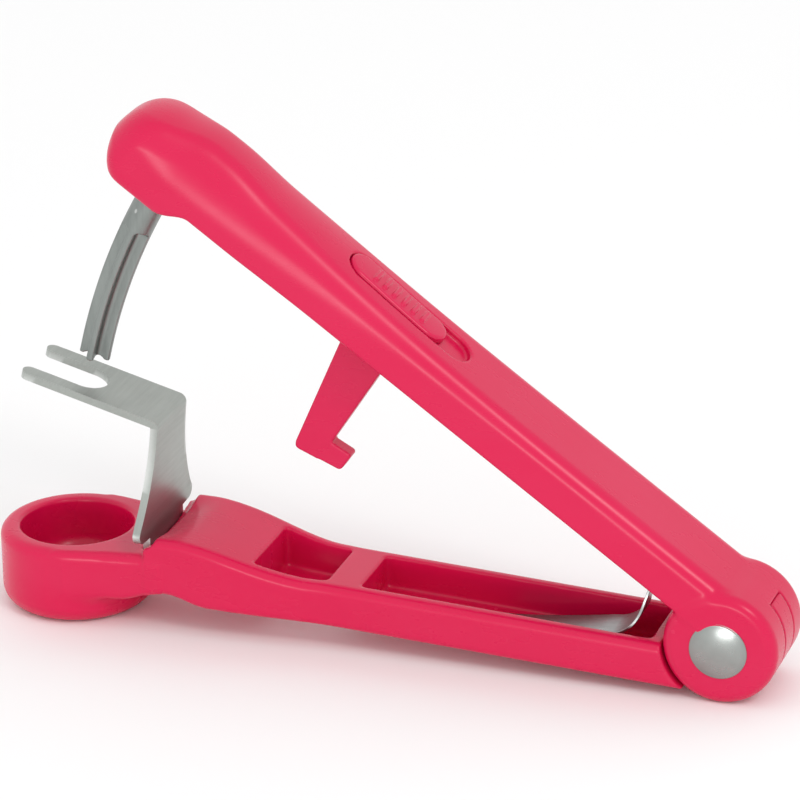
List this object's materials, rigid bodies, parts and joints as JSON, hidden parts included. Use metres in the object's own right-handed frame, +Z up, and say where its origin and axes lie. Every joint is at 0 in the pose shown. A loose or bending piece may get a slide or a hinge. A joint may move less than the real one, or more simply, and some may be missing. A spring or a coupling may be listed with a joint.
{
  "type": "cherry stoner",
  "caption": "Hand-held cherry stoner: two moulded arms on one rivet, a fruit cup, a curved cross-ribbed plunger, a stripper fork, a return spring and a sliding lock.",
  "frame": {"origin": "middle of the tool's bounding box, on the surface it stands on", "axes": "+X from the cup towards the hinge, +Y across the arms, +Z up"},
  "size_m": [0.1794, 0.034, 0.1173],
  "materials": {
    "arm_plastic": "satin-gloss moulded plastic, crimson pink",
    "lock_plastic": "satin-gloss moulded plastic, crimson pink",
    "plunger_metal": "satin cast steel",
    "fork_steel": "satin stainless sheet",
    "spring_steel": "bright spring steel strip",
    "rivet_metal": "finely turned steel"
  },
  "bodies": {
    "lower": {"lower_arm": "arm_plastic", "stripper_fork": "fork_steel", "leaf_spring": "spring_steel"},
    "upper": {"upper_arm": "arm_plastic", "plunger": "plunger_metal", "rivet_pin": "rivet_metal", "rivet_cap": "rivet_metal"},
    "lock": {"lock_button": "lock_plastic", "lock_hook": "lock_plastic"}
  },
  "joints": [
    {"name": "arm_hinge", "type": "hinge", "parent": "lower", "child": "upper", "pos_m": [0.07725, 0, 0.0125], "axis": [0, -1, 0], "range_deg": [0, 22], "stiffness_Nm_per_rad": 0.4, "springref_deg": -17.19, "deforming": ["leaf_spring"]},
    {"name": "lock_slide", "type": "slide", "parent": "upper", "child": "lock", "axis": [0.8141, 0, -0.5807], "range_m": [0, 0.0046]}
  ]
}
